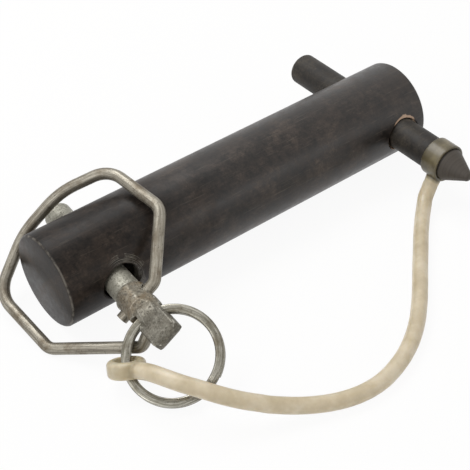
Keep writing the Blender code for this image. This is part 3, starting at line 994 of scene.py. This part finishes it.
zinc_wire = drawn_wire(
    "zinc_plated_wire", ("#6b655a", "#8b867a", "#aba699"), "#5c4f3c", 0.55, 0.38, 0.35
)
ring_steel = drawn_wire(
    "nickel_spring_steel", ("#585549", "#89867b", "#bcb9af"), "#564d3c", 0.80, 0.28, 0.30
)
print("wire materials:", zinc_wire.name, ring_steel.name)

# %% [markdown]
# The bail is one wire with hand-made bends. Its first end turns in the hub's eye and sticks
# out a little, and its loop leans so that it clears the shank. Its second end springs against
# the tongue, which is what holds the bail shut over the shank.

# %% Snap bail
LOOP_SWING = radians(10.4)
LOOP_LIFT = 0.92
END_X = BAIL_EYE_X + 8.9


def on_loop(reach, side):
    """A point of the leaning loop: its distance from the hinge and its place along the hinge."""
    return on_pin(
        BAIL_EYE_X - reach * cos(LOOP_SWING), side, LOOP_LIFT + reach * sin(LOOP_SWING)
    )


bail_corners = [
    (on_pin(BAIL_EYE_X, -(HUB_R + 1.25)), 0.0),
    (on_pin(BAIL_EYE_X, HUB_R + 2.25), 3.0 * MM),
    (on_loop(12.25, 20.8), 4.5 * MM),
    (on_loop(31.55, 18.8), 9.0 * MM),
    (on_loop(38.45, 5.6), 20.0 * MM),
    (on_loop(38.35, -8.6), 20.0 * MM),
    (on_loop(31.55, -23.8), 8.0 * MM),
    (on_loop(9.25, -23.6), 4.5 * MM),
    (on_pin(END_X, -(TONGUE_SIDE + 2.95), -2.15), 2.2 * MM),
    (on_pin(END_X, -(TONGUE_SIDE - 0.6), -0.50), 0.0),
]
bail = bend(bail_corners, WIRE_R * MM, 32, radians(5))
place_in_mesh(bail, "bent_wire_bail", 40)
bail_route = rounded_route(bail_corners, 0.5 * MM)
mark_strand(bail, bail_route)
dress(bail, zinc_wire, "bail", "bail", "snap_bail")
print("bail wire is", round(route_length(bail_route) / MM), "mm long")

# %% [markdown]
# A split ring is two turns of flat spring wire. Each turn lies flat, and the wire steps over
# by its own thickness just before both ends. Spinning a flat section in small steps, with a
# little lift in each step of the jog, gives the real shape with its two cut ends.

# %% Split ring
RING_R = 11.37 * MM
STOCK = 1.15 * MM
STOCK_EDGE = 0.42 * MM
LAYER = STOCK / 2 + 0.02 * MM
JOG = radians(34.0)
STEP = radians(3.0)

start_way = -to_hole
first_arm = Matrix.Rotation(JOG, 3, ring_axis) @ start_way
first_place = ring_centre + first_arm * RING_R - ring_axis * LAYER
section = Matrix((first_arm, ring_axis, first_arm.cross(ring_axis))).transposed().to_4x4()
deselect()
bpy.ops.mesh.primitive_plane_add(size=STOCK, location=first_place, rotation=section.to_euler())
ring = bpy.context.object
ring.scale = (2.0, 1.0, 1.0)
bpy.ops.object.transform_apply(location=False, rotation=False, scale=True)
bpy.ops.object.mode_set(mode="EDIT")
bpy.ops.mesh.select_all(action="SELECT")
bpy.ops.mesh.bevel(offset=STOCK_EDGE, segments=3, affect="VERTICES")
bpy.ops.mesh.select_all(action="SELECT")
flat_steps = round((2 * pi - JOG) / STEP)
jog_steps = round(JOG / STEP)


def swing_end(angle, steps):
    """Sweeps the selected end face round the ring's axis."""
    bpy.ops.mesh.spin(steps=steps, angle=SPIN_SIGN * angle, center=ring_centre, axis=ring_axis)


swing_end(2 * pi - JOG, flat_steps)
for step in range(jog_steps):
    swing_end(JOG / jog_steps, 1)
    ease = (1 - cos(pi * (step + 1) / jog_steps)) / 2 - (1 - cos(pi * step / jog_steps)) / 2
    bpy.ops.transform.translate(value=ring_axis * 2 * LAYER * ease)
swing_end(2 * pi - JOG, flat_steps)
outwards()
place_in_mesh(ring, "double_turn_ring", 40)
mark_strand(ring, [
    ring_centre + Matrix.Rotation(radians(angle), 3, ring_axis) @ start_way * RING_R
    for angle in range(0, 361, 2)
])
dress(ring, ring_steel, "ring", "ring", "split_ring")
print("ring is", round(2 * (RING_R + STOCK) / MM, 1), "mm across")

# %% [markdown]
# The tether is a soft, cloudy plastic, such as polyethylene or soft vinyl. Light goes a
# little way in and comes out warm, so the thick middle looks cream. Subsurface scattering
# does this with a radius of about a millimetre. The collars have tones of their own, and near
# the strap they turn to the strap's, because all three are one shot of plastic.

# %% Cloudy plastic
STRAP_TONES = ("#c2b599", "#cec2a8", "#dad0ba")
TONE_STOPS = (0.34, 0.50, 0.66)


def cloudy_plastic(name, tones, depth, root_from=None, across=None, root_start=0.0, root_end=0.0):
    """Milky plastic. Away from a point or line, it turns to the strap's own tone."""
    material, tree, shader = new_material(
        name, Roughness=0.32, IOR=1.5, Subsurface_Weight=0.55,
        Subsurface_Radius=(1.0, 0.84, 0.60), Subsurface_Scale=depth,
    )
    place = add(tree, "TexCoord").outputs["Object"]
    cloud = add(tree, "TexNoise", {
        "Vector": place, "Scale": per(6.0), "Detail": 4.0, "Roughness": 0.6,
    })
    tone = add(tree, "ValToRGB", {0: cloud}, stops=list(zip(TONE_STOPS, tones)))
    if root_from:
        flat = add(tree, "VectorMath", operation="MULTIPLY", feeds={0: place, 1: across})
        away = add(tree, "VectorMath", operation="DISTANCE", feeds={0: flat, 1: root_from})
        share = add(tree, "MapRange", {"Value": away, "From Min": root_start, "From Max": root_end})
        strap_tone = add(tree, "ValToRGB", {0: cloud}, stops=list(
            zip(TONE_STOPS, STRAP_TONES)
        ))
        tone = add(tree, "Mix", data_type="RGBA", feeds={0: share, 6: tone, 7: strap_tone})
    dents = add(tree, "TexNoise", {"Vector": place, "Scale": per(2.2)})
    relief = add(tree, "Bump", {"Height": dents, "Strength": 0.25, "Distance": 0.10 * MM})
    lead(tree, shader, Base_Color=tone, Normal=relief)
    return material


strap_plastic = cloudy_plastic("cloudy_strap_plastic", STRAP_TONES, 1.2 * MM)
print("strap material:", strap_plastic.name)

# %% [markdown]
# The strap hangs from the bar, lies in a long curve on the table and climbs over the split
# ring into its eyelet. It is seen from end to end, so its length is what the photograph shows.
# A smooth curve joins the route's points, and both ends are tucked into their roots.

# %% Route of the strap
STRAP_R = 2.1 * MM
TUCK = 1.4 * MM
STRAP_ROUTE = [
    (105.5, -28.4, -7.1), (103.8, -29.0, -8.9), (102.7, -29.8, -9.6), (101.4, -30.9, -10.1),
    (97.8, -34.0, -10.55), (93.0, -38.5, -10.55), (88.2, -43.3, -10.55), (83.6, -47.9, -10.55),
    (78.9, -52.7, -10.55), (73.9, -57.6, -10.55), (68.3, -62.4, -10.55), (62.2, -66.4, -10.55),
    (55.7, -69.3, -10.55), (48.8, -71.0, -10.55), (41.9, -70.8, -10.5), (35.2, -68.9, -10.2),
    (28.3, -65.8, -9.2), (22.1, -62.6, -7.3), (19.3, -60.8, -6.2), (16.7, -59.0, -5.2),
    (14.4, -57.2, -4.2), (12.4, -55.4, -3.3), (10.6, -53.5, -2.5), (8.9, -51.4, -1.9),
    (7.3, -49.1, -1.6), (5.9, -46.5, -1.5), (4.7, -43.6, -1.7), (3.8, -40.8, -2.2),
    (3.4, -38.7, -3.1), (3.2, -36.9, -4.2),
]


def smooth_route(points, steps):
    """A curve through all the points, with no corner at any of them."""
    full = [Vector(p) * MM for p in points]
    full = [2 * full[0] - full[1]] + full + [2 * full[-1] - full[-2]]
    route = []
    for a, b, c, d in zip(full, full[1:], full[2:], full[3:]):
        for step in range(steps):
            t = step / steps
            route.append(0.5 * (
                2 * b + (c - a) * t + (2 * a - 5 * b + 4 * c - d) * t * t
                + (3 * b - a - 3 * c + d) * t * t * t
            ))
    return route + [full[-2]]


strap_route = smooth_route(STRAP_ROUTE, 8)
first = strap_route[0] + (strap_route[0] - strap_route[1]).normalized() * TUCK
last = strap_route[-1] + (strap_route[-1] - strap_route[-2]).normalized() * TUCK
strap_route = [first] + strap_route + [last]

# %% [markdown]
# The strap is a plain round cord of plastic. A curve with a round bevel makes it along the
# route, and becomes a mesh.

# %% Strap
def tube(name, route, radius, resolution):
    """A round tube along a route, with closed ends."""
    path = bpy.data.curves.new(name, "CURVE")
    path.dimensions = "3D"
    path.bevel_depth = radius
    path.bevel_resolution = resolution
    path.use_fill_caps = True
    spline = path.splines.new("POLY")
    spline.points.add(len(route) - 1)
    for point, place in zip(spline.points, route):
        point.co = (*place, 1.0)
    piece = bpy.data.objects.new(name, path)
    bpy.context.scene.collection.objects.link(piece)
    only(piece)
    bpy.ops.object.convert(target="MESH")
    piece = bpy.context.object
    bpy.ops.object.mode_set(mode="EDIT")
    outwards()
    return piece


strap = tube("tether_strap_tube", strap_route, STRAP_R, 6)
place_in_mesh(strap, "moulded_strap", 50)

# %% [markdown]
# The eyelet is a thick round collar whose bore is waisted, which lets it tip on the ring. It
# carries the root of the strap, and a remesh melts root and collar together, as they are one
# shot of plastic. It is clearer than the strap, so it lets some light through.

# %% Eyelet on the ring
EYELET_PHASE = radians(73.0)
EYELET_TURN = Euler((radians(-58.7), radians(-41.2), radians(148.2))).to_matrix()
EYELET_SHIFT = Vector((0.12, 0.14, 0.12)) * MM
EYELET_R = 4.8 * MM
EYELET_HALF = 2.15 * MM
EYELET_ROUND = 1.15 * MM
BORE_R = 2.25 * MM
MOUTH_R = 3.05 * MM
WAIST_R = BORE_R + (MOUTH_R - BORE_R) * 0.45
WAIST_HALF = EYELET_HALF * 0.55
DRILL_R = MOUTH_R + 0.4 * MM
DRILL_HALF = EYELET_HALF + 1.0 * MM
ROOT_R = STRAP_R + 0.1 * MM
ROOT_END_R = STRAP_R - 0.1 * MM

ring_frame = Matrix((to_hole, ring_line, ring_axis)).transposed().to_4x4()
arm = Matrix.Translation(ring_centre) @ ring_frame @ Matrix.Rotation(EYELET_PHASE, 4, "Z")
reach_out = Matrix.Translation(Vector((RING_R, 0.0, 0.0)) + EYELET_SHIFT)
EYELET = arm @ reach_out @ EYELET_TURN.to_4x4()
middle = EYELET.translation
eyelet_way = (EYELET.to_3x3() @ Vector((0.0, 0.0, 1.0))).normalized()
root_way = (EYELET.to_3x3() @ ALONG_X).normalized()

eyelet = round_bar(
    middle, EYELET.to_euler(), eyelet_way, EYELET_R, 2 * EYELET_HALF, 96, EYELET_ROUND, 5
)
root_start = middle + root_way * 3.4 * MM
cut(eyelet, grow(root_start, root_way, ROOT_R, [(2.3 * MM, ROOT_END_R)], 48), "UNION")
bore_cuts = [
    (DRILL_HALF - WAIST_HALF, WAIST_R),
    (WAIST_HALF, BORE_R),
    (WAIST_HALF, WAIST_R),
    (DRILL_HALF - WAIST_HALF, DRILL_R),
]
cut(eyelet, grow(middle - eyelet_way * DRILL_HALF, eyelet_way, DRILL_R, bore_cuts, 64))
melt(eyelet, 0.14 * MM, 12)
place_in_mesh(eyelet, "moulded_eyelet", 60)
eyelet_plastic = cloudy_plastic(
    "cloudy_eyelet_plastic", ("#c0b492", "#d5c9aa", "#e9e0c8"), 1.0 * MM,
    tuple(middle), (1.0, 1.0, 1.0), 4.6 * MM, 5.6 * MM,
)
eyelet_shader = eyelet_plastic.node_tree.nodes["Principled BSDF"]
eyelet_shader.inputs["Transmission Weight"].default_value = 0.35
dress(eyelet, eyelet_plastic, "tether", "linchpin", "tether_eyelet")

# %% [markdown]
# The band on the bar is the same kind of collar, but thin, because it is stretched over the
# steel. Its colour is painted dark olive: painted shade on thin plastic over black steel. The
# root leaves it downwards, at the angle at which the strap hangs.

# %% Band on the bar
BAND_BORE = BAR_R + 0.05 * MM
BAND_WALL = 0.75 * MM
BAND_ROUND = 0.22 * MM
BAND_ROOT = 3.4 * MM
band_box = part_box("tether_loop")
BAND_WIDTH = band_box[1][1] - band_box[0][1]
BAND_PLACE = Vector((BAR_X, (band_box[0][1] + band_box[1][1]) / 2, 0.0))
ROOT_ANGLE = radians(-118.0)
ROOT_LEAN = radians(14.0)
ROOT_DRIFT = radians(-10.0)

band = round_bar(
    BAND_PLACE, (pi / 2, 0.0, 0.0), ALONG_Y, BAND_BORE + BAND_WALL, BAND_WIDTH, 128, BAND_ROUND, 3
)
heading = ROOT_ANGLE - ROOT_LEAN
band_way = Vector((cos(heading) * cos(ROOT_DRIFT), sin(ROOT_DRIFT), sin(heading) * cos(ROOT_DRIFT)))
foot = BAND_PLACE + Vector((cos(ROOT_ANGLE), 0.0, sin(ROOT_ANGLE))) * (BAR_R + BORE_GAP)
cut(band, grow(foot, band_way, ROOT_R, [(BAND_ROOT, ROOT_END_R)], 48), "UNION")
drill_start = BAND_PLACE - ALONG_Y * BAND_WIDTH
cut(band, grow(drill_start, ALONG_Y, BAND_BORE, [(2 * BAND_WIDTH, BAND_BORE)], 128))
melt(band, 0.12 * MM, 6)
place_in_mesh(band, "moulded_band", 60)
# Painted shade: these dark olive tones stand for the thin band in shade over black steel.
shaded_band_plastic = cloudy_plastic(
    "band_plastic_painted_shade", ("#4f4935", "#625a43", "#786f55"), 0.5 * MM,
    (BAR_X, 0.0, 0.0), (1.0, 0.0, 1.0), 5.5 * MM, 6.6 * MM,
)
dress(band, shaded_band_plastic, "tether", "shank", "tether_loop")

# %% [markdown]
# The strap goes from one body to another, because the safety pin slides while the bar stays.
# It gets its plastic and its place in its mesh, and the imported strap is hidden.

# %% Strap's plastic
strap.data.materials.append(strap_plastic)
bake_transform(strap)
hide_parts("tether_strap")
print("strap declared as a cord with", len(strap_route), "points")
